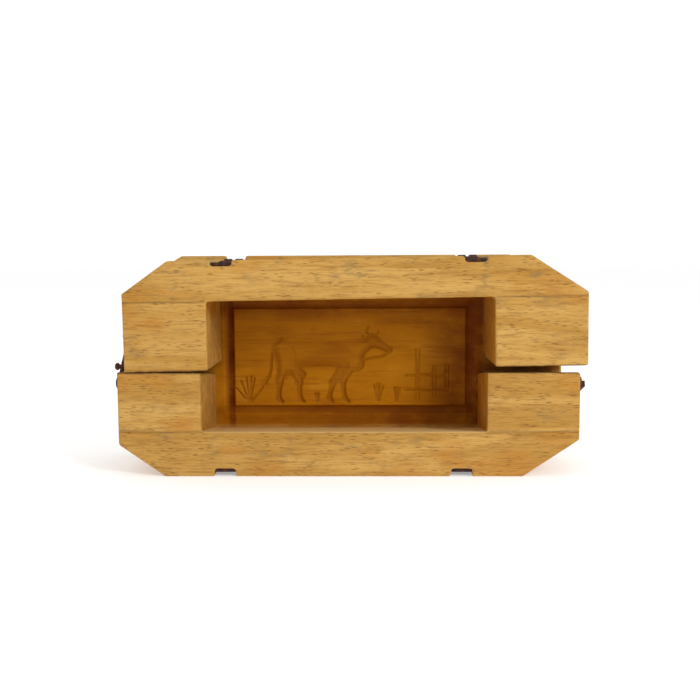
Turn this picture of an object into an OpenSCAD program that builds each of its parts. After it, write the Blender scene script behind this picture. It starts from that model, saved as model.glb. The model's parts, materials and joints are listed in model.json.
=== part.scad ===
// Hinged wooden butter mould: two C-shaped halves fold out from a carved, eight-sided base board
// and are held shut round the butter by a hook at each end. It stands on its lower half.
// X runs along the mould, -Y points out of its mouth, Z is up from the face that it stands on.

/* [Overall] */
// Length of the base board and of each half
mould_l = 244; // [200:1:320]
// Depth of the halves, from the mouth back to the base board
half_d = 50; // [36:1:70]
// Rise of the base board's top above the left end of the upper half
base_rise = 3; // [0:0.1:4]
// Thickness of the base board
base_t = 18; // [14:0.5:26]

/* [Halves] */
// Height of the lower half, from the face that it stands on to the seam
lower_h = 55.5; // [50:0.1:68]
// Height of the upper half, from the seam to its outer face
upper_h = 58.2; // [50:0.1:70]
// Thickness of the lower half's long rail
lower_rail_h = 24; // [22:0.5:30]
// Thickness of the upper half's long rail
upper_rail_h = 21.6; // [20:0.2:30]
// Width of the left end blocks
left_block_w = 44.5; // [36:0.5:60]
// Width of the right end blocks
right_block_w = 48.5; // [36:0.5:60]
// Drop of the lower half's seam and cavity floor from the mouth to the base board
undercut = 6.4; // [0:0.1:8]

/* [Corners] */
// Length of the left corner cuts
left_cut_l = 24.5; // [10:0.5:36]
// Height of the left corner cuts
left_cut_h = 17; // [10:0.5:19]
// Length of the right corner cuts
right_cut_l = 29.5; // [10:0.5:36]
// Height of the right corner cuts
right_cut_h = 19.5; // [10:0.5:19.5]

/* [Lie of the upper half] */
// Shift of the upper half to the right of the lower half
upper_shift = 4; // [0:0.1:5]
// Tilt of the upper half, rising to the right, in degrees
upper_tilt = 0.7; // [0:0.05:1.5]
// Gap at the left end of the seam
seam_gap = 0.3; // [0.2:0.1:2]

/* [Hinges] */
// Place of the left hinges, from the middle
hinge_left_x = -65.3; // [-72:0.1:-50]
// Place of the upper right hinge, from the middle
hinge_upper_right_x = 67.9; // [50:0.1:72]
// Place of the lower right hinge, from the middle
hinge_lower_right_x = 60.3; // [50:0.1:72]
// Width of a hinge leaf
leaf_w = 11; // [9:0.2:16]
// Thickness of a hinge leaf
leaf_t = 2; // [1.2:0.1:2]
// Radius of the hinge knuckles
knuckle_r = 1.8; // [1.6:0.1:2.2]
// Radius of the hinge pins
hinge_pin_r = 0.9; // [0.7:0.05:1.1]
// Gap between the two knuckles of a hinge
knuckle_gap = 1.6; // [0.4:0.1:2]
// Depth of the upper hinge line under the wood's face
upper_sink = 1.1; // [0.8:0.1:1.8]
// Depth of the lower hinge line under the wood's face
lower_sink = 1.9; // [1.9:0.1:3]
// Distance of a half's leaf from the mouth
leaf_set_back = 1.5; // [0.5:0.1:6]
// Distance of a base leaf's end from the board's back
base_leaf_set_back = 2.5; // [1:0.1:6]

/* [Hooks] */
// Height of the hook pivots
hook_pivot_z = 49; // [44:0.5:50]
// Distance of the left hook's pivot from the mouth
left_inset = 10; // [6:0.5:12]
// Distance of the right hook's pivot from the mouth
right_inset = 14; // [6:0.5:16]
// Length of a hook, from its pivot to its catch pin
hook_l = 28; // [19:0.5:32]
// Width of a hook's bar
hook_w = 3.4; // [2.8:0.1:4]
// Thickness of a hook
hook_t = 1.8; // [1.5:0.1:2.4]
// Radius of the hook pivot screws
hook_screw_r = 1.5; // [1.2:0.1:1.8]
// Radius of the catch pins
catch_r = 1.3; // [1:0.1:1.5]
// Lean of a latched hook towards the base board, in degrees
latched_lean = 30; // [20:1:34]
// Lean of the left hook as it stands, in degrees
left_lean = 46; // [44:1:70]
// Lean of the right hook as it stands, in degrees
right_lean = 110; // [60:1:115]

/* [Carving] */
// Distance of the carved panel's ends from the end blocks
panel_end_margin = 9; // [7:0.5:14]
// Distance of the carved panel's long sides from the rails
panel_side_margin = 7.7; // [6:0.1:9]
// Width of the carved frame's side grooves
groove_side_w = 6; // [3:0.5:7]
// Width of the carved frame's long grooves
groove_long_w = 4.5; // [3:0.5:5]
// Depth of the carving
carve_d = 1.2; // [0.6:0.1:2]

/* [Fits] */
// Radial clearance of a pin that turns
turn_fit = 0.05; // [0.02:0.01:0.1]
// Radial clearance of a screw in its hole
screw_fit = 0.05; // [0.02:0.01:0.1]
// Side clearance of a leaf in its notch
notch_fit = 0.2; // [0.1:0.05:0.5]
// Gap between the closed halves and the base board
joint_gap = 0.2; // [0.1:0.05:0.5]
// Gap on each side of a hook
hook_gap = 0.2; // [0.1:0.05:0.4]

/* [Hidden] */
$fn = 48;
past = 1;
front_y = -half_d / 2;
joint_y = half_d / 2;
half_back_y = joint_y - joint_gap;
back_y = joint_y + base_t;
half_l = mould_l / 2;
seam_z = lower_h + seam_gap;
base_h = seam_z + upper_h + base_rise;
panel_l = mould_l - left_block_w - right_block_w - 2 * panel_end_margin;
panel_h = base_h - lower_rail_h - upper_rail_h - 2 * panel_side_margin;
cavity_left = left_block_w - half_l;
cavity_right = half_l - right_block_w;
// Bevels on the arrises beside the hinge lines, which leave the halves room to swing
half_bevel = 3;
base_low_bevel = 3;
base_top_bevel = base_rise + 2.5;
// A knuckle's underside stays this far off the notch floor
knuckle_lift = 0.3;
leaf_under = knuckle_r + knuckle_lift;
notch_w = leaf_w + 2 * notch_fit;
knuckle_l = (leaf_w - knuckle_gap) / 2;
knuckle_room = 0.6;
lower_hinges = [hinge_left_x, hinge_lower_right_x];
upper_hinges = [hinge_left_x - upper_shift, hinge_upper_right_x - upper_shift];
// Leaf screws: shank, head and length in the wood
leaf_screw_r = 1.3;
leaf_screw_l = 9;
screw_head_r = 2.3;
screw_head_h = 0.9;
slot_w = 0.5;
slot_d = 0.4;
screw_from_mouth = 10;
screw_from_hinge = 15;
base_screw_from_hinge = 8;
half_screw_ys = [front_y + screw_from_mouth, joint_y - screw_from_hinge];
base_screw_ys = [joint_y + base_screw_from_hinge];
// Hooks: the eye, the mouth round the catch pin and the step over to the upper half's end
eye_r = 3.6;
mouth_room = 0.9;
mouth_r = catch_r + mouth_room;
mouth_rim = 2.2;
lip_from = 135;
lip_to = 235;
step_at = [6, 8];
step_room = 0.5;
right_step = upper_shift + step_room;
knob_at = 11.5;
knob_r = 2.1;
knob_stem_r = 1.2;
knob_stem_l = 0.8;
knob_round = 0.8;
knob_l = 3.4;
pivot_head_r = 2.8;
left_head_h = 0.5;
right_head_h = 1.2;
head_taper = 0.7;
pin_in_wood = 12;
// Depth of the carved ground line under the panel's middle
ground = 26;
catch_z = hook_pivot_z + hook_l * cos(latched_lean);

// An outline in Y and Z, drawn along X
module along_x(from, to) {
    translate([from, 0, 0])
        rotate([90, 0, 90])
            linear_extrude(to - from)
                children();
}

// An outline in X and Z, drawn along Y
module along_y(from, to) {
    translate([0, to, 0])
        rotate([90, 0, 0])
            linear_extrude(to - from)
                children();
}

// A half is drawn standing on its outer face; this turns it over into the upper half's place
module as_upper() {
    translate([upper_shift - half_l, 0, seam_z])
        rotate([0, -upper_tilt, 0])
            translate([half_l, 0, upper_h])
                mirror([0, 0, 1])
                    children();
}

// Notches in a half's outer face, one at each hinge, right through from front to back
module notches(xs, sink) {
    for (x = xs)
        translate([x - notch_w / 2, front_y - past, -past])
            cube([notch_w, half_d + base_t + 2 * past, sink + leaf_under + past]);
}

// Holes for the leaf screws, under the notch floors
module screw_holes(xs, ys, sink) {
    for (x = xs)
        for (y = ys)
            translate([x, y, sink])
                cylinder(r = leaf_screw_r + screw_fit, h = leaf_under + leaf_screw_l + past);
}

// Long rail of a half, with its corner cuts, notches and the bevel at the hinge line
module rail(rail_h, xs, sink, drop) {
    difference() {
        along_y(front_y, half_back_y)
            polygon([
                [left_cut_l - half_l, 0], [half_l - right_cut_l, 0], [half_l, right_cut_h],
                [half_l, rail_h], [-half_l, rail_h], [-half_l, left_cut_h]
            ]);
        along_x(-half_l - past, half_l + past)
            polygon([
                [joint_y - half_bevel - past, -past], [joint_y + past, -past],
                [joint_y + past, half_bevel + past]
            ]);
        if (drop > 0)
            along_x(cavity_left, cavity_right)
                polygon([
                    [front_y, rail_h], [joint_y + past, rail_h - drop * (half_d + past) / half_d],
                    [joint_y + past, rail_h + past], [front_y, rail_h + past]
                ]);
        notches(xs, sink);
        screw_holes(xs, half_screw_ys, sink);
    }
}

// End block of a half, from its rail to the seam
module end_block(from, to, rail_h, top, drop) {
    along_x(from, to)
        polygon([[front_y, rail_h], [half_back_y, rail_h], [half_back_y, top - drop], [front_y, top]]);
}

function hook_y(side) = front_y + (side < 0 ? left_inset : right_inset);
function catch_y(side) = hook_y(side) + hook_l * sin(latched_lean);

// How far from the middle a catch pin or pivot screw starts in the wood
function pivot_start() = half_l - pin_in_wood;
function catch_start(side) = half_l + side * upper_shift - pin_in_wood;

// Round bar along X, outwards from its start, at the right (side 1) or left (side -1) end
module end_bar(side, start, y, z, r, length) {
    translate([side * start, y, z])
        rotate([0, side * 90, 0])
            cylinder(r = r, h = length);
}

// Leaf that lies in a notch, with its knuckle at the hinge line; side is -1 on a half, 1 on the base
module leaf(x, sink, side, length, screw_ys) {
    plate_near = side < 0 ? joint_y - length : joint_y;
    near = knuckle_r + knuckle_room;
    difference() {
        union() {
            translate([x - leaf_w / 2, plate_near, sink + leaf_under - leaf_t])
                cube([leaf_w, length, leaf_t]);
            translate([x + side * leaf_w / 2, joint_y, sink])
                rotate([0, -side * 90, 0])
                    cylinder(r = knuckle_r, h = knuckle_l);
        }
        translate([side > 0 ? x - leaf_w / 2 - past : x - knuckle_gap / 2, joint_y - near, sink - near])
            cube([leaf_w / 2 + knuckle_gap / 2 + past, 2 * near, 2 * near + leaf_t]);
        translate([x - leaf_w / 2 - past, joint_y, sink])
            rotate([0, 90, 0])
                cylinder(r = hinge_pin_r + turn_fit, h = leaf_w + 2 * past);
        for (y = screw_ys)
            translate([x, y, sink - past])
                cylinder(r = leaf_screw_r + screw_fit, h = leaf_under + 2 * past);
    }
}

module half_leaf(x, sink) {
    leaf(x, sink, -1, half_d - leaf_set_back, half_screw_ys);
}

module base_leaf(x, sink) {
    leaf(x, sink, 1, base_t - base_leaf_set_back, base_screw_ys);
}

module hinge_pin(x, sink) {
    translate([x - leaf_w / 2, joint_y, sink])
        rotate([0, 90, 0])
            cylinder(r = hinge_pin_r, h = leaf_w);
}

// Slotted screw through a leaf into the wood
module leaf_screw(x, y, sink) {
    translate([x, y, sink + leaf_under - leaf_t]) {
        difference() {
            translate([0, 0, -screw_head_h])
                cylinder(r1 = screw_head_r - head_taper, r2 = screw_head_r, h = screw_head_h);
            translate([-screw_head_r, -slot_w / 2, -screw_head_h - past])
                cube([2 * screw_head_r, slot_w, slot_d + past]);
        }
        cylinder(r = leaf_screw_r, h = leaf_t + leaf_screw_l);
    }
}

module leaf_screws(xs, ys, sink) {
    for (x = xs)
        for (y = ys)
            leaf_screw(x, y, sink);
}

// Outline of a hook from one length along it to another, with Y back and Z up from its pivot
module hook_bar(from, to) {
    translate([-hook_w / 2, from])
        square([hook_w, to - from]);
}

module hook_mouth() {
    translate([0, hook_l])
        difference() {
            circle(r = mouth_r + mouth_rim);
            circle(r = mouth_r);
            polygon(concat([[0, 0]], [for (a = [lip_from:25:lip_to]) 10 * [cos(a), sin(a)]]));
        }
}

// Hook on the right end, upright from its pivot; a step carries its mouth clear of the upper half
module hook(step) {
    along_x(hook_gap, hook_gap + hook_t)
        difference() {
            union() {
                circle(r = eye_r);
                hook_bar(0, step_at[1]);
            }
            circle(r = hook_screw_r + turn_fit);
        }
    along_x(hook_gap, hook_gap + step + hook_t)
        hook_bar(step_at[0], step_at[1]);
    along_x(hook_gap + step, hook_gap + step + hook_t) {
        hook_bar(step_at[0], hook_l - mouth_r - mouth_rim / 2);
        hook_mouth();
    }
}

// Puts a hook on the right (side 1) or left (side -1) end of the lower half, leant back
module at_pivot(side, lean) {
    mirror([side < 0 ? 1 : 0, 0, 0])
        translate([half_l, hook_y(side), hook_pivot_z])
            rotate([-lean, 0, 0])
                children();
}

module pivot_screw(side) {
    head_h = side < 0 ? left_head_h : right_head_h;
    at_pivot(side, 0)
        rotate([0, 90, 0]) {
            translate([0, 0, -pin_in_wood])
                cylinder(r = hook_screw_r, h = pin_in_wood + 2 * hook_gap + hook_t);
            translate([0, 0, 2 * hook_gap + hook_t])
                difference() {
                    cylinder(r1 = pivot_head_r, r2 = pivot_head_r - head_taper, h = head_h);
                    translate([-slot_w / 2, -pivot_head_r, head_h - slot_d])
                        cube([slot_w, 2 * pivot_head_r, slot_d + past]);
                }
        }
}

// Catch pin that stands out of an upper end block as far as the hook's outer face
module catch_pin(side) {
    reach = half_l + 2 * hook_gap + hook_t + (side > 0 ? right_step : 0);
    end_bar(side, catch_start(side), catch_y(side), catch_z, catch_r, reach - catch_start(side));
}

module catch_hole(side) {
    length = pin_in_wood + 2 * upper_shift + past;
    end_bar(side, catch_start(side), catch_y(side), catch_z, catch_r + screw_fit, length);
}

module pivot_hole(side) {
    end_bar(side, pivot_start(), hook_y(side), hook_pivot_z, hook_screw_r + screw_fit, pin_in_wood + past);
}

// Cow facing right, a tuft of grass and a piece of fence, measured from the panel's middle
module picture() {
    polygon([
        [-42, 9], [-30, 11], [-12, 9.5], [2, 10], [8, 14], [12, 16], [17, 12], [25, 5.5], [24, 2.5],
        [17, 2.5], [12, 0], [5, -8], [1, -11], [0, -ground], [-3, -ground], [-4, -12], [-8, -12],
        [-9, -ground], [-12, -ground], [-12, -9], [-22, -9.5], [-25, -13], [-28, -10],
        [-29, -ground], [-32, -ground], [-33, -13], [-36, -11], [-37, -ground], [-40, -ground],
        [-41, -6], [-42.5, 2], [-44, -14], [-46, -14], [-45, 5]
    ]);
    for (blade = [-2:2])
        translate([-57 + 2.6 * blade, -ground])
            rotate(-14 * blade)
                polygon([[-0.8, 0], [0.8, 0], [0, 12]]);
    for (post = [40, 49, 57])
        translate([post, -ground])
            square([2, 19]);
    for (bar = [-17, -9])
        translate([34, bar])
            square([27, 1.6]);
}

module carving() {
    translate([0, joint_y + carve_d, base_h / 2])
        rotate([90, 0, 0])
            linear_extrude(carve_d + past) {
                difference() {
                    square([panel_l + 2 * groove_side_w, panel_h + 2 * groove_long_w], center = true);
                    square([panel_l, panel_h], center = true);
                }
                picture();
            }
}

module base_board() {
    color("peru")
        difference() {
            along_y(joint_y, back_y)
                polygon([
                    [left_cut_l - half_l, 0], [half_l - right_cut_l, 0], [half_l, right_cut_h],
                    [half_l, base_h - right_cut_h], [half_l - right_cut_l, base_h],
                    [left_cut_l - half_l, base_h], [-half_l, base_h - left_cut_h], [-half_l, left_cut_h]
                ]);
            along_x(-half_l - past, half_l + past) {
                polygon([
                    [joint_y - past, -past], [joint_y + base_low_bevel + past, -past],
                    [joint_y - past, base_low_bevel + past]
                ]);
                polygon([
                    [joint_y - past, base_h + past], [joint_y + base_top_bevel + past, base_h + past],
                    [joint_y - past, base_h - base_top_bevel - past]
                ]);
            }
            notches(lower_hinges, lower_sink);
            screw_holes(lower_hinges, base_screw_ys, lower_sink);
            as_upper() {
                translate([0, 0, -base_h / 10])
                    notches(upper_hinges, upper_sink + base_h / 10);
                screw_holes(upper_hinges, base_screw_ys, upper_sink);
            }
            carving();
        }
}

module lower_rail() {
    color("burlywood")
        rail(lower_rail_h, lower_hinges, lower_sink, undercut);
}

module lower_left_end_block() {
    color("burlywood")
        difference() {
            end_block(-half_l, cavity_left, lower_rail_h, lower_h, undercut);
            pivot_hole(-1);
        }
}

module lower_right_end_block() {
    color("burlywood")
        difference() {
            end_block(cavity_right, half_l, lower_rail_h, lower_h, undercut);
            pivot_hole(1);
        }
}

module upper_rail() {
    color("tan")
        as_upper()
            rail(upper_rail_h, upper_hinges, upper_sink, 0);
}

module upper_left_end_block() {
    color("tan")
        difference() {
            as_upper()
                end_block(-half_l, cavity_left, upper_rail_h, upper_h, 0);
            catch_hole(-1);
        }
}

module upper_right_end_block() {
    color("tan")
        difference() {
            as_upper()
                end_block(cavity_right, half_l, upper_rail_h, upper_h, 0);
            catch_hole(1);
        }
}

module iron() {
    color([0.2, 0.13, 0.11])
        children();
}

module lower_left_leaf() { iron() half_leaf(lower_hinges[0], lower_sink); }
module lower_right_leaf() { iron() half_leaf(lower_hinges[1], lower_sink); }
module upper_left_leaf() { iron() as_upper() half_leaf(upper_hinges[0], upper_sink); }
module upper_right_leaf() { iron() as_upper() half_leaf(upper_hinges[1], upper_sink); }
module base_lower_left_leaf() { iron() base_leaf(lower_hinges[0], lower_sink); }
module base_lower_right_leaf() { iron() base_leaf(lower_hinges[1], lower_sink); }
module base_upper_left_leaf() { iron() as_upper() base_leaf(upper_hinges[0], upper_sink); }
module base_upper_right_leaf() { iron() as_upper() base_leaf(upper_hinges[1], upper_sink); }
module lower_left_hinge_pin() { iron() hinge_pin(lower_hinges[0], lower_sink); }
module lower_right_hinge_pin() { iron() hinge_pin(lower_hinges[1], lower_sink); }
module upper_left_hinge_pin() { iron() as_upper() hinge_pin(upper_hinges[0], upper_sink); }
module upper_right_hinge_pin() { iron() as_upper() hinge_pin(upper_hinges[1], upper_sink); }
module lower_leaf_screws() { iron() leaf_screws(lower_hinges, half_screw_ys, lower_sink); }
module upper_leaf_screws() { iron() as_upper() leaf_screws(upper_hinges, half_screw_ys, upper_sink); }

module base_leaf_screws() {
    iron() {
        leaf_screws(lower_hinges, base_screw_ys, lower_sink);
        as_upper()
            leaf_screws(upper_hinges, base_screw_ys, upper_sink);
    }
}

module left_catch_pin() { iron() catch_pin(-1); }
module right_catch_pin() { iron() catch_pin(1); }
module left_pivot_screw() { iron() pivot_screw(-1); }
module right_pivot_screw() { iron() pivot_screw(1); }
module left_hook() { iron() at_pivot(-1, left_lean) hook(0); }
module right_hook() { iron() at_pivot(1, right_lean) hook(right_step); }

module left_hook_knob() {
    color("sienna")
        at_pivot(-1, left_lean)
            translate([hook_gap + hook_t, 0, knob_at])
                rotate([0, 90, 0])
                    rotate_extrude()
                        polygon([
                            [0, 0], [knob_stem_r, 0], [knob_stem_r, knob_stem_l],
                            [knob_r, 2 * knob_stem_l], [knob_r, knob_l - knob_round],
                            [knob_r - knob_round, knob_l], [0, knob_l]
                        ]);
}

base_board();
lower_rail();
lower_left_end_block();
lower_right_end_block();
upper_rail();
upper_left_end_block();
upper_right_end_block();
lower_left_leaf();
lower_right_leaf();
upper_left_leaf();
upper_right_leaf();
base_lower_left_leaf();
base_lower_right_leaf();
base_upper_left_leaf();
base_upper_right_leaf();
lower_left_hinge_pin();
lower_right_hinge_pin();
upper_left_hinge_pin();
upper_right_hinge_pin();
lower_leaf_screws();
upper_leaf_screws();
base_leaf_screws();
left_catch_pin();
right_catch_pin();
left_pivot_screw();
right_pivot_screw();
left_hook();
left_hook_knob();
right_hook();
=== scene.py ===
import json
import math

import bmesh
import bpy
import numpy as np
from mathutils import Matrix, Vector, noise

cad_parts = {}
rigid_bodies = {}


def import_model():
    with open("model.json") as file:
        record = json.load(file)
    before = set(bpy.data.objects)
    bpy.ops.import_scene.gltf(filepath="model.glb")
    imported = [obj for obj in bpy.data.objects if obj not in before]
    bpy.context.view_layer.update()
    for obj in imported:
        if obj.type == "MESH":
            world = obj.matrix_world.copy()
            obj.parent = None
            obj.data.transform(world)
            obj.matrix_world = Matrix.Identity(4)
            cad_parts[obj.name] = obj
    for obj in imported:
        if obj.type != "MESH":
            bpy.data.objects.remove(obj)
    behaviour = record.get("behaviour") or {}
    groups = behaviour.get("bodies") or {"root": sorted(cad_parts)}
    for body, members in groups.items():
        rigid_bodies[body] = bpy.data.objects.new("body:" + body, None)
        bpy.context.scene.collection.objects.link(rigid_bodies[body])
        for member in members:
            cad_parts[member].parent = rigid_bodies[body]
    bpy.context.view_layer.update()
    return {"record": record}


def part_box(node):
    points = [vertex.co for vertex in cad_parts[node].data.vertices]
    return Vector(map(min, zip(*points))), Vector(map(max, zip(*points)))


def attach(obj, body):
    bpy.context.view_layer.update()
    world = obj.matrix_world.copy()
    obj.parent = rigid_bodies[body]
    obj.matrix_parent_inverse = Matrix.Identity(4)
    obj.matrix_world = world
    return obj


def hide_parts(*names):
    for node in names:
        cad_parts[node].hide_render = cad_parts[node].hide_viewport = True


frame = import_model()

MM = 0.001

# ---- Places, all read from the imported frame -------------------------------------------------

def lowest(node):
    return Vector(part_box(node)[0])


def highest(node):
    return Vector(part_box(node)[1])


MOUTH_Y = lowest("lower_rail").y
PANEL_Y = lowest("base_board").y
PANEL_Z = (lowest("base_board").z + highest("base_board").z) / 2
SEAM_Z = highest("lower_left_end_block").z
LOWER_CAVITY_X = highest("lower_left_end_block").x, lowest("lower_right_end_block").x
UPPER_CAVITY_X = highest("upper_left_end_block").x, lowest("upper_right_end_block").x
JOINTS = {j["name"]: j for j in frame["record"]["behaviour"]["joints"]}
UPPER_AXIS = -Vector(JOINTS["upper_half_hinge"]["axis"])
TILT = math.atan2(UPPER_AXIS.z, UPPER_AXIS.x)
UPPER_UP = Vector((-math.sin(TILT), 0, math.cos(TILT)))
UP = Vector((0, 0, 1))
LEFT, RIGHT = Vector((-1, 0, 0)), Vector((1, 0, 0))


# ---- Shader maths ---------------------------------------------------------------------------

class Value:
    """A number socket of a material; arithmetic on it adds Math nodes."""

    def __init__(self, paint, socket):
        self.paint = paint
        self.socket = socket

    def maths(self, operation, other):
        return self.paint.node("ShaderNodeMath", {"operation": operation}, {0: self, 1: other})

    def __add__(self, other):
        return self.maths("ADD", other)

    def __sub__(self, other):
        return self.maths("SUBTRACT", other)

    def __rsub__(self, other):
        return self.maths("MULTIPLY", -1.0).maths("ADD", other)

    def __mul__(self, other):
        return self.maths("MULTIPLY", other)

    def ramp(self, low, high):
        """0 below low, 1 above high, smooth between; the other way round if high is lower."""
        settings = {"interpolation_type": "SMOOTHSTEP"}
        values = {0: self, 1: min(low, high), 2: max(low, high)}
        rising = self.paint.node("ShaderNodeMapRange", settings, values)
        return rising if low < high else 1 - rising


class Paint:
    """One material under construction."""

    def __init__(self, name):
        self.material = bpy.data.materials.new(name)
        self.material.use_nodes = True
        self.tree = self.material.node_tree
        self.shader = self.tree.nodes["Principled BSDF"]

    def node(self, kind, settings, values, output=0):
        """Any node: its settings, then the values or links of its inputs; gives one of its outputs."""
        made = self.tree.nodes.new(kind)
        for key, setting in settings.items():
            setattr(made, key, setting)
        for key, value in values.items():
            self.feed(made.inputs[key], value)
        return Value(self, made.outputs[output])

    def feed(self, socket, value):
        if isinstance(value, Value):
            self.tree.links.new(value.socket, socket)
        else:
            socket.default_value = value

    def place(self, scale, shift=(0, 0, 0)):
        """Object coordinates, stretched and shifted."""
        coords = self.node("ShaderNodeTexCoord", {}, {}, "Object")
        return self.node("ShaderNodeMapping", {}, {"Vector": coords, "Scale": scale, "Location": shift})

    def noise(self, place, detail=3.0, roughness=0.55, distortion=0.0):
        values = {"Vector": place, "Scale": 1.0, "Detail": detail, "Roughness": roughness,
                  "Distortion": distortion}
        return self.node("ShaderNodeTexNoise", {}, values, "Fac")

    def attribute(self, name):
        """A number stored at each point of the piece."""
        return self.node("ShaderNodeAttribute", {"attribute_name": name}, {}, "Fac")

    def mix(self, low, high, factor):
        """One colour fading into another."""
        return self.node("ShaderNodeMix", {"data_type": "RGBA"}, {0: factor, 6: low, 7: high}, 2)

    def finish(self, colour, roughness, height, depth, **constants):
        """Joins colour, roughness and a bump of the given depth to the shader, and sets its constants."""
        bump = self.node("ShaderNodeBump", {}, {"Height": height, "Distance": depth, "Strength": 1.0})
        self.feed(self.shader.inputs["Base Color"], colour)
        self.feed(self.shader.inputs["Roughness"], roughness)
        self.feed(self.shader.inputs["Normal"], bump)
        for name, value in constants.items():
            self.shader.inputs[name.replace("_", " ")].default_value = value
        return self.material


# ---- Materials ------------------------------------------------------------------------------

# Linear colours
# A paler beech, painted light on the upward inner faces of the lower half's cavity
PAINTED_LIGHT_BEECH = (0.85, 0.6, 0.25, 1)
PALE_BEECH = (0.6, 0.345, 0.088, 1)
HONEY_BEECH = (0.46, 0.235, 0.042, 1)
BROWN_BEECH = (0.23, 0.098, 0.014, 1)
ORANGE_BEECH = (0.47, 0.19, 0.018, 1)
FLECK = (0.15, 0.058, 0.006, 1)
GRIME = (0.2, 0.135, 0.06, 1)
JOINT_DIRT = (0.06, 0.022, 0.006, 1)
PALE_AMBER = (0.6, 0.25, 0.012, 1)
AMBER = (0.43, 0.158, 0.001, 1)
DARK_AMBER = (0.26, 0.07, 0.001, 1)
# Dark red-brown for real stains, also used for painted shade and painted shadow
BURNT_AND_SHADE = (0.13, 0.02, 0.0006, 1)
BLACK_IRON, RUST = (0.02, 0.011, 0.009, 1), (0.12, 0.03, 0.014, 1)
BROWN_IRON, RED_RUST = (0.05, 0.02, 0.015, 1), (0.2, 0.05, 0.03, 1)

# Depth of the bump in metres
GRAIN_BUMP = 0.22 * MM
CARVED_GRAIN_BUMP = 0.15 * MM
RUST_BUMP = 0.25 * MM


def beech_colour(paint, shift, grime):
    """Bare old beech with its grain along X: growth bands, streaks, short flecks and dirt."""
    bands = paint.noise(paint.place((7, 120, 90), shift), 3.0, 0.55, 0.8)
    mottle = paint.noise(paint.place((75, 700, 600), shift), 4.0, 0.7, 0.25)
    streaks = paint.noise(paint.place((75, 1700, 1500), shift), 4.0, 0.75)
    broad = paint.noise(paint.place((16, 36, 36), shift), 3.0, 0.6)
    colour = paint.mix(HONEY_BEECH, PALE_BEECH, bands.ramp(0.3, 0.68))
    colour = paint.mix(colour, ORANGE_BEECH, broad.ramp(0.52, 0.68) * 0.6)
    colour = paint.mix(colour, BROWN_BEECH, mottle.ramp(0.45, 0.72) * 0.5)
    colour = paint.mix(colour, BROWN_BEECH, streaks.ramp(0.48, 0.74) * 0.6)
    cells = {"Vector": paint.place((170, 1250, 1100), shift), "Scale": 1.0}
    from_cell = paint.node("ShaderNodeTexVoronoi", {}, cells, "Distance")
    chosen = paint.noise(paint.place((90, 260, 260), shift), 2.0)
    flecks = from_cell.ramp(0.36, 0.14) * chosen.ramp(0.42, 0.56)
    colour = paint.mix(colour, FLECK, flecks * 0.6)
    smudge = paint.noise(paint.place((45, 85, 85), shift), 5.0, 0.7).ramp(0.54, 0.68)
    colour = paint.mix(colour, GRIME, smudge * grime)
    spots = paint.noise(paint.place((160, 160, 160), shift), 3.0)
    rubbed = paint.attribute("worn").ramp(0.2, 1.0) * spots.ramp(0.3, 0.6)
    colour = paint.mix(colour, PALE_BEECH, rubbed * 0.6)
    dirty = paint.attribute("dirt") * (spots.ramp(0.2, 0.55) * 0.7 + 0.3)
    colour = paint.mix(colour, JOINT_DIRT, dirty)
    return colour, streaks, flecks


def oiled_colour(paint, grain_scale):
    """Beech soaked with butter fat: a deep amber with dark streaks."""
    grain = paint.noise(paint.place(grain_scale), 5.0, 0.65)
    broad = paint.noise(paint.place((22, 60, 48)), 3.0, 0.6, 0.4)
    colour = paint.mix(AMBER, PALE_AMBER, broad.ramp(0.5, 0.3) * 0.5)
    colour = paint.mix(colour, DARK_AMBER, broad.ramp(0.5, 0.75) * 0.6)
    return paint.mix(colour, DARK_AMBER, grain.ramp(0.48, 0.75) * 0.6)


def beech(name, shift, grime):
    """Wood of one rail or end block; its shift gives each its own grain."""
    paint = Paint(name)
    bare, streaks, flecks = beech_colour(paint, shift, grime)
    soaked = oiled_colour(paint, (300, 560, 70))
    blots = paint.noise(paint.place((90, 300, 60), shift), 4.0, 0.65).ramp(0.35, 0.65) * 0.9 + 0.45
    # Painted light: upward inner faces of the lower half are painted paler, standing in for light falling
    # on them
    painted_light = paint.attribute("painted_light") * (streaks.ramp(0.68, 0.46) * 0.4 + 0.5)
    bare = paint.mix(bare, PAINTED_LIGHT_BEECH, painted_light)
    colour = paint.mix(bare, soaked, paint.attribute("oiled") * blots)
    roughness = streaks * 0.15 + 0.55
    height = streaks * 0.6 - flecks * 0.5
    return paint.finish(colour, roughness, height, GRAIN_BUMP, Specular_IOR_Level=0.2)


def carved_beech(name):
    """The base board: bare beech outside, soaked amber inside the cavity, with dark stains and with painted
    shade in places.
    """
    paint = Paint(name)
    bare, streaks, flecks = beech_colour(paint, (0.3, 0.2, 0.1), 0.45)
    soaked = oiled_colour(paint, (34, 420, 560))
    stains = paint.noise(paint.place((60, 90, 85), (0.4, 0, 0.2)), 5.0, 0.7)
    soaked = paint.mix(soaked, BURNT_AND_SHADE, stains.ramp(0.6, 0.78) * 0.6)
    # Painted shade in the grooves and painted shadow towards the right and the top
    soaked = paint.mix(soaked, BURNT_AND_SHADE, paint.attribute("painted_shade") * (stains.ramp(0.25, 0.6) * 0.6 + 0.4))
    # Painted shade in the carved recesses: darker where the carving is deeper
    soaked = paint.mix(soaked, BURNT_AND_SHADE, paint.attribute("cut") * 0.45)
    colour = paint.mix(bare, soaked, paint.attribute("oiled"))
    roughness = streaks * 0.15 + 0.5
    height = streaks * 0.7 - flecks * 0.4
    return paint.finish(colour, roughness, height, CARVED_GRAIN_BUMP, Specular_IOR_Level=0.08)


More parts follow.
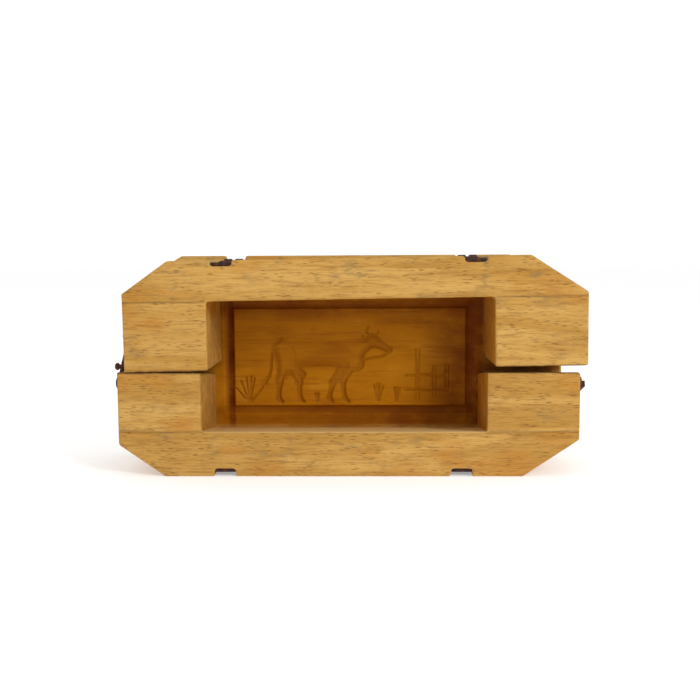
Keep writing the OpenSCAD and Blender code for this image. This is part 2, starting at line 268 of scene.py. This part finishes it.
def rusty_iron(name, black, rust, amount):
    """Forged iron, nearly black, with patches and pits of rust."""
    paint = Paint(name)
    patches = paint.noise(paint.place((420, 420, 420)), 5.0, 0.7)
    pits = paint.noise(paint.place((1500, 1500, 1500)), 3.0, 0.6)
    rusted = patches.ramp(0.62 - amount, 0.78 - amount)
    colour = paint.mix(black, rust, rusted)
    colour = paint.mix(colour, black, pits.ramp(0.55, 0.7) * 0.5)
    roughness = rusted * 0.25 + 0.6
    height = patches + pits * 0.6
    return paint.finish(colour, roughness, height, RUST_BUMP, Metallic=0.1, Specular_IOR_Level=0.3)


LOWER_WOODS = {
    "rail": beech("lower_rail_beech", (0.0, 0.05, 0.31), 0.4),
    "left": beech("lower_left_block_beech", (0.7, 0.4, 0.9), 0.3),
    "right": beech("lower_right_block_beech", (0.25, 0.8, 0.55), 0.35),
}
UPPER_WOODS = {
    "rail": beech("upper_rail_beech", (0.45, 0.15, 0.62), 0.6),
    "left": beech("upper_left_block_beech", (0.9, 0.65, 0.2), 0.35),
    "right": beech("upper_right_block_beech", (0.15, 0.3, 0.75), 0.3),
}
BOARD_WOOD = carved_beech("carved_oiled_beech")
IRON = rusty_iron("rusty_iron", BLACK_IRON, RUST, 0.16)
RED_IRON = rusty_iron("red_rust_iron", BROWN_IRON, RED_RUST, 0.2)


# ---- Mesh tools -----------------------------------------------------------------------------

MERGE = 1e-7


def new_object(name, data):
    made = bpy.data.objects.new(name, data)
    bpy.context.scene.collection.objects.link(made)
    return made


def merged(node):
    """A CAD node's mesh, with the points that its faces share joined, to work on."""
    work = bmesh.new()
    work.from_mesh(bpy.data.objects[node].data)
    bmesh.ops.remove_doubles(work, verts=work.verts, dist=MERGE)
    return work


def stored(work, name):
    """Turns a finished working mesh into a mesh of its own."""
    mesh = bpy.data.meshes.new(name)
    work.to_mesh(mesh)
    work.free()
    return mesh


def baked(owner):
    """The object's mesh with its modifiers applied; the object itself is removed."""
    mesh = bpy.data.meshes.new_from_object(owner.evaluated_get(bpy.context.evaluated_depsgraph_get()))
    bpy.data.objects.remove(owner)
    return mesh


def remeshed(nodes, voxel):
    """One closed, even mesh of quads over the union of some CAD nodes."""
    copies = [new_object(node + "_copy", stored(merged(node), node + "_copy")) for node in nodes]
    first, *others = copies
    for other in others:
        union = first.modifiers.new("union", "BOOLEAN")
        union.operation = "UNION"
        union.solver = "EXACT"
        union.object = other
    remesh = first.modifiers.new("remesh", "REMESH")
    remesh.mode = "VOXEL"
    remesh.voxel_size = voxel
    mesh = baked(first)
    for other in others:
        bpy.data.objects.remove(other)
    return mesh


def points_of(mesh):
    points = np.empty(len(mesh.vertices) * 3)
    mesh.vertices.foreach_get("co", points)
    return points.reshape(-1, 3)


def normals_of(mesh):
    normals = np.empty(len(mesh.vertices) * 3)
    mesh.vertices.foreach_get("normal", normals)
    return normals.reshape(-1, 3)


def set_points(mesh, points):
    mesh.vertices.foreach_set("co", points.ravel())
    mesh.update()


def set_attribute(mesh, name, values):
    layer = mesh.attributes.get(name) or mesh.attributes.new(name, "FLOAT", "POINT")
    layer.data.foreach_set("value", values.astype(np.float32))


def soften(mesh, passes):
    """Rounds the arrises, and gives how far each point moved."""
    edges = np.empty(len(mesh.edges) * 2, dtype=np.int64)
    mesh.edges.foreach_get("vertices", edges)
    a, b = edges.reshape(-1, 2).T
    start = points_of(mesh)
    points = start.copy()
    count = np.bincount(np.concatenate([a, b]), minlength=len(points))[:, None]
    for _ in range(passes):
        total = np.empty_like(points)
        for k in range(3):
            total[:, k] = (np.bincount(a, points[b, k], len(points))
                           + np.bincount(b, points[a, k], len(points)))
        points += 0.5 * (total / count - points)
    set_points(mesh, points)
    return np.linalg.norm(points - start, axis=1)


def rough(points, pitch, seed):
    """Smooth noise from 0 to 1 at each point, with its bumps about pitch apart."""
    shift = Vector((seed * 1.7, seed * 0.9, seed * 2.3))
    return np.array([0.5 + 0.5 * noise.noise(Vector(p) / pitch + shift) for p in points])


def smooth_step(values, low, high):
    """0 at low, 1 at high, smooth between and flat beyond; high may be the smaller."""
    t = np.clip((values - low) / (high - low), 0, 1)
    return t * t * (3 - 2 * t)


def wear(mesh, passes, voxel, dent, pitch, seed, crisp=None):
    """Rounded arrises and shallow dents, deepest along the arrises, except where crisp keeps them out."""
    start = points_of(mesh)
    worn = np.clip(soften(mesh, passes) / (0.45 * voxel), 0, 1)
    points = points_of(mesh)
    depth = dent * rough(points, pitch, seed) * (0.25 + 0.75 * worn)
    if crisp is not None:
        keep, flat = crisp(start)
        points += (flat - points) * keep[:, None]
        depth *= 1 - keep
        worn *= 1 - keep
    set_points(mesh, points - normals_of(mesh) * depth[:, None])
    set_attribute(mesh, "worn", worn)


def cut_off(mesh, name, planes):
    """The part of a closed mesh on the inner side of some planes, closed again where it was cut."""
    work = bmesh.new()
    work.from_mesh(mesh)
    for place, outwards in planes:
        everything = work.verts[:] + work.edges[:] + work.faces[:]
        bmesh.ops.bisect_plane(work, geom=everything, dist=MERGE, plane_co=place, plane_no=outwards,
                               clear_outer=True)
        bmesh.ops.holes_fill(work, edges=[e for e in work.edges if e.is_boundary], sides=0)
    bmesh.ops.triangulate(work, faces=[f for f in work.faces if len(f.verts) > 4])
    return stored(work, name)


def settle(name, mesh, material, body, slot, *stands_for):
    """Puts a finished piece on its body, in place of the CAD nodes it stands for."""
    mesh.materials.clear()
    mesh.materials.append(material)
    mesh.shade_smooth()
    mesh.name = name
    piece = new_object(name, mesh)
    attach(piece, body)
    if stands_for:
        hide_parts(*stands_for)


# ---- The two halves -------------------------------------------------------------------------

WOOD_VOXEL = 0.75 * MM
WOOD_PASSES = 3
WOOD_DENT = 0.25 * MM
DENT_PITCH = 9 * MM

# Where the left seam stays crisp: this near its plane, and this far left of the middle
ARRIS = 0.8 * MM
CRISP_DEPTH = 1.6 * MM, 0.9 * MM
CRISP_X = 60 * MM, 90 * MM

# Where soaking and dirt fade in, each from none to full
PAST_END_WALL = 0.8 * MM, 0.3 * MM
BELOW_GLUE = 7 * MM, 6.4 * MM
BEHIND_LIP = 0, 1 * MM
FROM_MOUTH = 0.6 * MM, 7 * MM
TOWARDS_RIGHT = -30 * MM, 50 * MM
FROM_CORNER = 14 * MM, 2 * MM
FROM_SEAM = 0.9 * MM, 0.2 * MM
FROM_GLUE = 0.7 * MM, 0.1 * MM
SEAM_DIRT, GLUE_DIRT = 0.9, 0.5


def soaking(points, height, normals, rail_soak, corner_soak):
    """How soaked the wood is: most on the end walls, towards the right, the corners and the back."""
    x, y = points[:, 0], points[:, 1]
    end_wall = smooth_step(np.abs(normals[:, 0]), 0.5, 0.9)
    strength = 0.1 + 0.75 * smooth_step(x, *TOWARDS_RIGHT)
    strength = np.maximum(strength, corner_soak * smooth_step(height, *FROM_CORNER))
    strength = strength * end_wall + rail_soak * (1 - end_wall)
    strength *= 0.4 + 0.6 * smooth_step(y - MOUTH_Y, *FROM_MOUTH)
    return strength * smooth_step(y - MOUTH_Y, *BEHIND_LIP)


def half(which, up, woods, cavity, rail_soak, corner_soak, painted_light_strength, seed):
    """A rail and its two end blocks, worn as one and then cut apart along the glue lines."""
    names = {
        "rail": f"{which}_rail",
        "left": f"{which}_left_end_block",
        "right": f"{which}_right_end_block",
    }
    whole = remeshed(names.values(), WOOD_VOXEL)
    upwards = np.array(up)
    glue = (points_of(bpy.data.objects[names["rail"]].data) @ upwards).max()
    seam = (points_of(bpy.data.objects[names["left"]].data) @ upwards).max()

    def left_seam(at):
        """Snaps the arrises of the left seam back to the seam's plane."""
        drop = seam - at @ upwards
        keep = smooth_step(drop, *CRISP_DEPTH) * smooth_step(-at[:, 0], *CRISP_X)
        return keep, at + np.where(drop < ARRIS, drop, 0)[:, None] * upwards

    wear(whole, WOOD_PASSES, WOOD_VOXEL, WOOD_DENT, DENT_PITCH, seed, left_seam)
    points, normals = points_of(whole), normals_of(whole)
    height = points @ upwards - glue
    low_x, high_x = cavity
    inside = smooth_step(low_x - points[:, 0], *PAST_END_WALL)
    inside *= smooth_step(points[:, 0] - high_x, *PAST_END_WALL)
    inside *= smooth_step(-height, *BELOW_GLUE)
    oiled = inside * soaking(points, height, normals, rail_soak, corner_soak)
    facing_up = smooth_step(normals @ upwards, 0.75, 0.95)
    on_seam = smooth_step(seam - glue - height, *FROM_SEAM)
    on_glue = smooth_step(np.abs(height), *FROM_GLUE) * (1 - inside)
    set_attribute(whole, "oiled", oiled)
    # Painted light on the upward-facing faces inside the lower half's cavity; none on the upper half
    set_attribute(whole, "painted_light", inside * facing_up * painted_light_strength)
    set_attribute(whole, "dirt", np.maximum(SEAM_DIRT * on_seam, GLUE_DIRT * on_glue))
    place = up * glue
    cuts = {
        "rail": [(place, up)],
        "left": [(place, -up), (Vector(), RIGHT)],
        "right": [(place, -up), (Vector(), LEFT)],
    }
    for part, planes in cuts.items():
        mesh = cut_off(whole, names[part], planes)
        settle("worn_" + names[part], mesh, woods[part], f"{which}_half", "beech", names[part])


half("lower", UP, LOWER_WOODS, LOWER_CAVITY_X, rail_soak=0.03, corner_soak=0.3, painted_light_strength=1, seed=3)
half("upper", -UPPER_UP, UPPER_WOODS, UPPER_CAVITY_X, rail_soak=0.7, corner_soak=0.95, painted_light_strength=0, seed=8)


# ---- The carved base board ------------------------------------------------------------------

BOARD_VOXEL = 1.3 * MM
BOARD_PASSES = 2

# The carving, in mm from the panel's middle
PANEL_HALF_L = 66.5
PANEL_HALF_H = 28.0
SIDE_GROOVE = 6.0
LONG_GROOVE = 4.5
GROOVE_DEPTH = 1.5
FINE_MARGIN = 1.0
FLAT_MARGIN = 3.0
GROUND = -26.0
COW_CUT = 1.25
COW_BLEND = 2.0
BLADE_DEPTH = 0.9

# Limbs of the cow: two ends, each with its radius
COW = [
    ((-34, 2), 8.0, (1, 2.5), 7.2),
    ((-38.5, 4.5), 6.0, (-36, -5), 5.4),
    ((0, 3), 6.8, (4, -4), 4.4),
    ((4, 5), 5.2, (14, 9.5), 2.9),
    ((13, 10), 3.2, (23, 4), 1.7),
    ((-38, -4), 4.4, (-41, -14), 2.0),
    ((-41, -14), 1.9, (-41.5, -24), 1.3),
    ((-41.5, -24.6), 1.2, (-39.4, -26), 1.1),
    ((-33, -7), 3.0, (-29.6, -14), 1.8),
    ((-29.6, -14), 1.7, (-29, -23), 1.1),
    ((-29, -24.4), 1.2, (-26.8, -26), 1.0),
    ((-4, -5), 3.0, (-10, -15), 1.7),
    ((-10, -15), 1.6, (-12, -23.5), 1.1),
    ((-12, -24.6), 1.2, (-10.2, -26), 1.0),
    ((1, -5), 2.8, (-4.4, -14), 1.7),
    ((-4.4, -14), 1.6, (-3, -23), 1.1),
    ((-3, -24.4), 1.2, (-0.8, -26), 1.0),
    ((-31, -8.5), 2.6, (-27, -10), 1.8),
]

# Gouge strokes: points, half width, depth. Tail and back, hips, shoulder, belly, horns, ears, fence
STROKES = [
    ([(-39.5, 10.6), (-44.2, 6.2), (-45.6, -3), (-45.9, -8), (-49.2, -15.6)], 1.0, 1.0),
    ([(-46.6, -10.5), (-51.4, -16.4)], 1.3, 0.8),
    ([(-40, 9.3), (-33.4, 6.4), (-31.3, 0), (-32, -4.4), (-37.4, -13)], 0.8, 0.5),
    ([(-3.6, 8.6), (-0.6, 2.4), (-2.6, -4.4)], 0.7, 0.35),
    ([(-0.8, -10.4), (4.2, -5.2), (8.6, -1.4), (19, 0.6), (22.8, 3)], 0.7, 0.9),
    ([(11.6, 13), (9.6, 14.8), (10.9, 17.8)], 0.6, 0.8),
    ([(14.4, 12), (16.6, 14.8)], 0.6, 0.8),
    ([(11, 10.8), (7.8, 12.2)], 0.9, 0.8),
    ([(16.2, 8.8), (16.8, 8.6)], 0.6, 0.7),
    ([(38.3, 4.8), (38.5, -8), (38.2, -24.8)], 0.5, 0.75),
    ([(40.2, 4.4), (40, -9), (40.3, -25)], 0.5, 0.75),
    ([(48, -5), (48.2, -22.6)], 0.5, 0.7),
    ([(49.6, -5.6), (49.8, -22)], 0.5, 0.7),
    ([(55.6, -4.4), (55.4, -20)], 0.5, 0.7),
    ([(57.2, -5), (57.4, -19.4)], 0.5, 0.7),
    ([(32.4, -10.8), (44, -10.2), (57.6, -11.4)], 0.75, 0.8),
    ([(31.8, -19.2), (43, -19.6), (57.2, -19.4)], 0.75, 0.8),
]


def fan(x, leans, height, width):
    """Straight blades of grass that spread from one root, shorter as they lean more."""
    made = []
    for lean in leans:
        tall = height * (1 - 0.3 * abs(lean))
        tip = (x + tall * math.sin(lean), GROUND + tall * math.cos(lean))
        made.append(([(x + 1.6 * lean, GROUND + 0.5), tip], width, BLADE_DEPTH))
    return made


STROKES += fan(-58.2, (-0.78, -0.4, -0.14, 0.06, 0.2, 0.72), 15, 0.65)
STROKES += fan(-19, (-0.25, 0, 0.22), 5.5, 0.45)
STROKES += fan(16, (-0.2, -0.02, 0.12, 0.34), 11, 0.5)
STROKES += fan(26.6, (-0.08, 0.12, 0.3), 8.5, 0.45)


def along(px, pz, a, b):
    """Distance of each point from a line, and how far along it, 0 to 1, the nearest place is."""
    dx, dz = b[0] - a[0], b[1] - a[1]
    t = np.clip(((px - a[0]) * dx + (pz - a[1]) * dz) / (dx * dx + dz * dz), 0, 1)
    return np.hypot(px - a[0] - t * dx, pz - a[1] - t * dz), t


def carving_depth(px, pz):
    """Depth of the carving: the groove round the panel, the cow and the strokes."""
    side = (np.abs(px) - PANEL_HALF_L - SIDE_GROOVE / 2) / (SIDE_GROOVE / 2)
    long = (np.abs(pz) - PANEL_HALF_H - LONG_GROOVE / 2) / (LONG_GROOVE / 2)
    ring = np.maximum(side, long)
    depth = GROOVE_DEPTH * np.sqrt(np.clip(1 - ring * ring, 0, 1))
    body = np.zeros_like(px)
    for a, radius_a, b, radius_b in COW:
        distance, t = along(px, pz, a, b)
        body += np.exp(-(distance - radius_a + (radius_a - radius_b) * t) / COW_BLEND * 2)
    within = np.log(np.maximum(body, 1e-9)) * COW_BLEND / 2
    sunk = COW_CUT * smooth_step(within, -0.4, 0.9) * (1 - 0.8 * smooth_step(within, 0.8, 4.5))
    sunk *= 0.4 + 0.6 * np.maximum(smooth_step(pz, 9, 0), smooth_step(px, 4, 9))
    depth = np.maximum(depth, sunk)
    for points, width, deep in STROKES:
        for start, end in zip(points, points[1:]):
            distance, _ = along(px, pz, start, end)
            depth = np.maximum(depth, deep * np.sqrt(np.clip(1 - (distance / width) ** 2, 0, 1)))
    return depth


def painted_shade_amount(px, pz):
    """How much painted shade the carved side gets: in the grooves, and painted shadow on the wood towards
    the right and the top.
    """
    left = smooth_step(px, -71.5, -69) * smooth_step(px, -65.6, -67.2)
    right = np.maximum(0.85 * smooth_step(px, 65.8, 67.4), 0.75 * smooth_step(px, 36, 64))
    top = 0.6 * smooth_step(pz, 17, 29)
    low = smooth_step(pz, -27.4, -28.8) * (0.3 + 0.4 * smooth_step(px, -50, 40))
    return np.maximum.reduce([left, right, top, low])


def refine_panel(mesh):
    """Finer quads where the board is carved."""
    work = bmesh.new()
    work.from_mesh(mesh)
    reach_x = (PANEL_HALF_L + SIDE_GROOVE + FINE_MARGIN) * MM
    reach_z = (PANEL_HALF_H + LONG_GROOVE + FINE_MARGIN) * MM
    fine = set()
    for face in work.faces:
        middle = face.calc_center_median()
        if face.normal.y < -0.9 and abs(middle.x) < reach_x and abs(middle.z - PANEL_Z) < reach_z:
            fine.update(face.edges)
    bmesh.ops.subdivide_edges(work, edges=list(fine), cuts=2, use_grid_fill=True)
    work.to_mesh(mesh)
    work.free()


def flatten_panel(mesh):
    """Takes the CAD's plain groove out of the board, so that the carving starts from a flat face."""
    points = points_of(mesh)
    near = np.abs(points[:, 0]) < (PANEL_HALF_L + SIDE_GROOVE + FLAT_MARGIN) * MM
    near &= np.abs(points[:, 2] - PANEL_Z) < (PANEL_HALF_H + LONG_GROOVE + FLAT_MARGIN) * MM
    near &= points[:, 1] < PANEL_Y + 4 * MM
    points[near, 1] = PANEL_Y
    set_points(mesh, points)


def base_board():
    """The board with its carved panel, soaked inside the cavity and behind the seam."""
    mesh = remeshed(["base_board"], BOARD_VOXEL)
    flatten_panel(mesh)
    wear(mesh, BOARD_PASSES, BOARD_VOXEL, WOOD_DENT, DENT_PITCH, 5)
    refine_panel(mesh)
    points = points_of(mesh)
    px, pz = points[:, 0] / MM, (points[:, 2] - PANEL_Z) / MM
    front = smooth_step(normals_of(mesh)[:, 1], -0.8, -0.95)
    front *= smooth_step(points[:, 1], PANEL_Y + 1.5 * MM, PANEL_Y + 0.8 * MM)
    depth = carving_depth(px, pz) * front
    grain = rough(points * np.array([0.12, 1, 1]), 1.6 * MM, 9)
    points[:, 1] += depth * MM + 0.1 * MM * grain * front
    set_points(mesh, points)
    low_x, high_x = (x / MM for x in LOWER_CAVITY_X)
    in_x = smooth_step(px, low_x - 1, low_x + 0.5) * smooth_step(px, high_x + 5, high_x + 3)
    in_z = smooth_step(np.abs(pz), 42, 38)
    from_seam = np.abs(points[:, 2] - SEAM_Z) + 3 * MM * rough(points, 14 * MM, 21)
    behind_seam = 0.9 * front * smooth_step(from_seam, 9 * MM, 5 * MM)
    # The carving's depth, used for painted shade in the carved recesses
    set_attribute(mesh, "cut", np.clip(depth / GROOVE_DEPTH, 0, 1))
    set_attribute(mesh, "oiled", np.maximum(front * in_x * in_z, behind_seam))
    set_attribute(mesh, "dirt", 0.7 * behind_seam * (1 - in_x))
    # Painted shade: the grooves' shaded sides, and painted shadow towards the right and the top
    set_attribute(mesh, "painted_shade", painted_shade_amount(px, pz))
    settle("carved_base_board", mesh, BOARD_WOOD, "base", "oiled_beech", "base_board")


base_board()


# ---- Ironwork -------------------------------------------------------------------------------

# Voxel, smoothing passes and dents of each kind of iron piece
LEAF_FORM = 0.32 * MM, 3, 0.12 * MM
HINGE_PIN_FORM = 0.2 * MM, 2, 0.04 * MM
HOOK_FORM = 0.22 * MM, 4, 0.15 * MM
CATCH_FORM = 0.25 * MM, 3, 0.1 * MM
KNOB_FORM = 0.2 * MM, 4, 0.2 * MM
IRON_PITCH = 3 * MM


def forged(node, body, form, material=IRON, slot="rusty_iron"):
    """A CAD iron piece with hammered faces and rounded edges."""
    voxel, passes, dent = form
    mesh = remeshed([node], voxel)
    wear(mesh, passes, voxel, dent, IRON_PITCH, len(node))
    settle("forged_" + node, mesh, material, body, slot, node)


for side in ("left", "right"):
    for which in ("lower", "upper"):
        forged(f"{which}_{side}_leaf", f"{which}_half", LEAF_FORM)
        forged(f"base_{which}_{side}_leaf", "base", LEAF_FORM)
        forged(f"{which}_{side}_hinge_pin", "base", HINGE_PIN_FORM)
    forged(f"{side}_hook", f"{side}_hook", HOOK_FORM)
    forged(f"{side}_catch_pin", "upper_half", CATCH_FORM)
forged("left_hook_knob", "left_hook", KNOB_FORM, RED_IRON, "red_rust_iron")

SCREW_INPUTS = {
    "Head Radius": "Float",
    "Head Height": "Float",
    "Slot Width": "Float",
    "Slot Depth": "Float",
    "Facing": "Vector",
    "Stretch": "Vector",
    "Iron": "Material",
}


def screw_tree():
    """Slotted, domed screw heads on the points of a mesh, each turned its own way."""
    tree = bpy.data.node_groups.new("slotted_screw_heads", "GeometryNodeTree")
    sockets = {}
    tree.interface.new_socket("Geometry", in_out="INPUT", socket_type="NodeSocketGeometry")
    for name, kind in SCREW_INPUTS.items():
        made = tree.interface.new_socket(name, in_out="INPUT", socket_type="NodeSocket" + kind)
        sockets[name] = made.identifier
    tree.interface.new_socket("Geometry", in_out="OUTPUT", socket_type="NodeSocketGeometry")

    def add(kind, settings, values):
        made = tree.nodes.new(kind)
        for key, setting in settings.items():
            setattr(made, key, setting)
        for key, value in values.items():
            if isinstance(value, bpy.types.NodeSocket):
                tree.links.new(value, made.inputs[key])
            else:
                made.inputs[key].default_value = value
        return made

    given = add("NodeGroupInput", {}, {}).outputs
    ball = add("GeometryNodeMeshUVSphere", {},
               {"Segments": 32, "Rings": 16, "Radius": given["Head Radius"]})
    flat = add("GeometryNodeTransform", {}, {"Geometry": ball.outputs["Mesh"], "Scale": given["Stretch"]})
    size = add("ShaderNodeCombineXYZ", {},
               {"X": given["Head Radius"], "Y": given["Slot Width"], "Z": given["Slot Depth"]})
    longer = add("ShaderNodeVectorMath", {"operation": "MULTIPLY"}, {0: size.outputs[0], 1: (3, 1, 2)})
    up = add("ShaderNodeCombineXYZ", {}, {"Z": given["Head Height"]})
    bar = add("GeometryNodeMeshCube", {}, {"Size": longer.outputs[0]})
    slot = add("GeometryNodeTransform", {}, {"Geometry": bar.outputs["Mesh"], "Translation": up.outputs[0]})
    head = add("GeometryNodeMeshBoolean", {"operation": "DIFFERENCE", "solver": "EXACT"},
               {"Mesh 1": flat.outputs[0], "Mesh 2": slot.outputs[0]})
    placed = add("GeometryNodeInstanceOnPoints", {},
                 {"Points": given["Geometry"], "Instance": head.outputs[0], "Rotation": given["Facing"]})
    spin = add("FunctionNodeRandomValue", {"data_type": "FLOAT"}, {2: 0.0, 3: math.pi, "Seed": 4})
    turn = add("ShaderNodeCombineXYZ", {}, {"Z": spin.outputs[1]})
    turned = add("GeometryNodeRotateInstances", {},
                 {"Instances": placed.outputs[0], "Rotation": turn.outputs[0], "Local Space": True})
    real = add("GeometryNodeRealizeInstances", {}, {"Geometry": turned.outputs[0]})
    coated = add("GeometryNodeSetMaterial", {}, {"Geometry": real.outputs[0], "Material": given["Iron"]})
    add("NodeGroupOutput", {}, {"Geometry": coated.outputs[0]})
    return tree, sockets


SCREW_TREE, SCREW_SOCKETS = screw_tree()

# Radius and height of each kind of screw head
LEAF_HEAD = 2.3 * MM, 0.9 * MM
LEFT_PIVOT_HEAD = 2.8 * MM, 0.5 * MM
RIGHT_PIVOT_HEAD = 2.8 * MM, 1.2 * MM
SLOT_WIDTH, SLOT_DEPTH = 0.55 * MM, 0.4 * MM


def islands(node):
    """The points of each separate solid in a CAD node."""
    work = merged(node)
    left = set(work.verts)
    found = []
    while left:
        reached = [left.pop()]
        solid = []
        while reached:
            vert = reached.pop()
            solid.append(vert.co.copy())
            for link in vert.link_edges:
                other = link.other_vert(vert)
                if other in left:
                    left.remove(other)
                    reached.append(other)
        found.append(solid)
    work.free()
    return found


def screw_heads(name, nodes, body, outwards, form, solids):
    """Screw heads on some solids, facing outwards, in place of the CAD nodes."""
    radius, height = form
    seats = []
    for solid in solids:
        top = max(point.dot(outwards) for point in solid)
        rim = [point for point in solid if point.dot(outwards) > top - height * 1.5]
        middle = sum(rim, Vector()) / len(rim)
        seats.append(middle + outwards * (top - height - middle.dot(outwards)))
    mesh = bpy.data.meshes.new(name)
    mesh.from_pydata(seats, [], [])
    owner = new_object(name, mesh)
    heads = owner.modifiers.new("heads", "NODES")
    heads.node_group = SCREW_TREE
    given = {
        "Head Radius": radius,
        "Head Height": height,
        "Slot Width": SLOT_WIDTH,
        "Slot Depth": SLOT_DEPTH,
        "Facing": tuple(outwards.to_track_quat("Z", "Y").to_euler()),
        "Stretch": (1, 1, height / radius),
        "Iron": IRON,
    }
    for key, value in given.items():
        heads[SCREW_SOCKETS[key]] = value
    settle(name, baked(owner), IRON, body, "rusty_iron", *nodes)


for which, outwards in (("lower", -UP), ("upper", UPPER_UP)):
    node = f"{which}_leaf_screws"
    screw_heads(f"{which}_screw_heads", [node], f"{which}_half", outwards, LEAF_HEAD, islands(node))
base_screws = islands("base_leaf_screws")
low_screws = [solid for solid in base_screws if solid[0].z < PANEL_Z]
high_screws = [solid for solid in base_screws if solid[0].z > PANEL_Z]
screw_heads("base_low_screw_heads", ["base_leaf_screws"], "base", -UP, LEAF_HEAD, low_screws)
screw_heads("base_high_screw_heads", [], "base", UPPER_UP, LEAF_HEAD, high_screws)
for side, outwards, form in (("left", LEFT, LEFT_PIVOT_HEAD), ("right", RIGHT, RIGHT_PIVOT_HEAD)):
    node = f"{side}_pivot_screw"
    screw_heads(f"{side}_pivot_head", [node], "lower_half", outwards, form, islands(node))


# ---- Floor, lights and camera ---------------------------------------------------------------

WHITE = (1, 1, 1, 1)


def floor():
    """A wide pale floor that glows a little, so that it stays white round the object."""
    work = bmesh.new()
    bmesh.ops.create_grid(work, x_segments=1, y_segments=1, size=12)
    mesh = stored(work, "floor")
    paint = Paint("pale_floor")
    paint.shader.inputs["Base Color"].default_value = (0.86, 0.86, 0.86, 1)
    paint.shader.inputs["Emission Color"].default_value = WHITE
    paint.shader.inputs["Emission Strength"].default_value = 0.32
    paint.shader.inputs["Roughness"].default_value = 0.9
    paint.shader.inputs["Specular IOR Level"].default_value = 0.0
    mesh.materials.append(paint.material)
    new_object("floor", mesh)


def softbox(name, place, target, size, power):
    """A round area light, turned towards its target."""
    light = bpy.data.lights.new(name, "AREA")
    light.shape = "DISK"
    light.size = size
    light.energy = power
    lamp = new_object(name, light)
    lamp.location = place
    lamp.rotation_euler = (Vector(target) - Vector(place)).to_track_quat("-Z", "Y").to_euler()


def studio():
    """White surroundings, seen at full brightness but lighting the object more softly."""
    world = bpy.data.worlds.new("studio")
    bpy.context.scene.world = world
    world.use_nodes = True
    tree = world.node_tree
    seen = tree.nodes.new("ShaderNodeLightPath")
    level = tree.nodes.new("ShaderNodeMapRange")
    level.inputs["To Min"].default_value = 0.78
    level.inputs["To Max"].default_value = 1.05
    tree.links.new(seen.outputs["Is Camera Ray"], level.inputs["Value"])
    tree.links.new(level.outputs[0], tree.nodes["Background"].inputs["Strength"])
    tree.nodes["Background"].inputs["Color"].default_value = WHITE
    middle = (0, 0, 0.06)
    softbox("key", (0.8, -0.9, 0.75), middle, 0.4, 6.5)
    softbox("top", (0.1, 0.2, 1.4), middle, 0.9, 1.5)


def camera():
    """The viewpoint: close in front, a little above the object's top, looking slightly down."""
    data = bpy.data.cameras.new("camera")
    data.sensor_width = 36
    data.lens = 49.05
    eye = new_object("camera", data)
    eye.location = (0.0136, -0.5217, 0.1149)
    pitch, yaw, roll = math.radians(90 - 5.46), math.radians(1.40), math.radians(-0.3)
    turn = Matrix.Rotation(yaw, 3, "Z") @ Matrix.Rotation(pitch, 3, "X") @ Matrix.Rotation(roll, 3, "Z")
    eye.rotation_euler = turn.to_euler()
    bpy.context.scene.camera = eye


bpy.context.scene.view_settings.view_transform = "Standard"
floor()
studio()
camera()
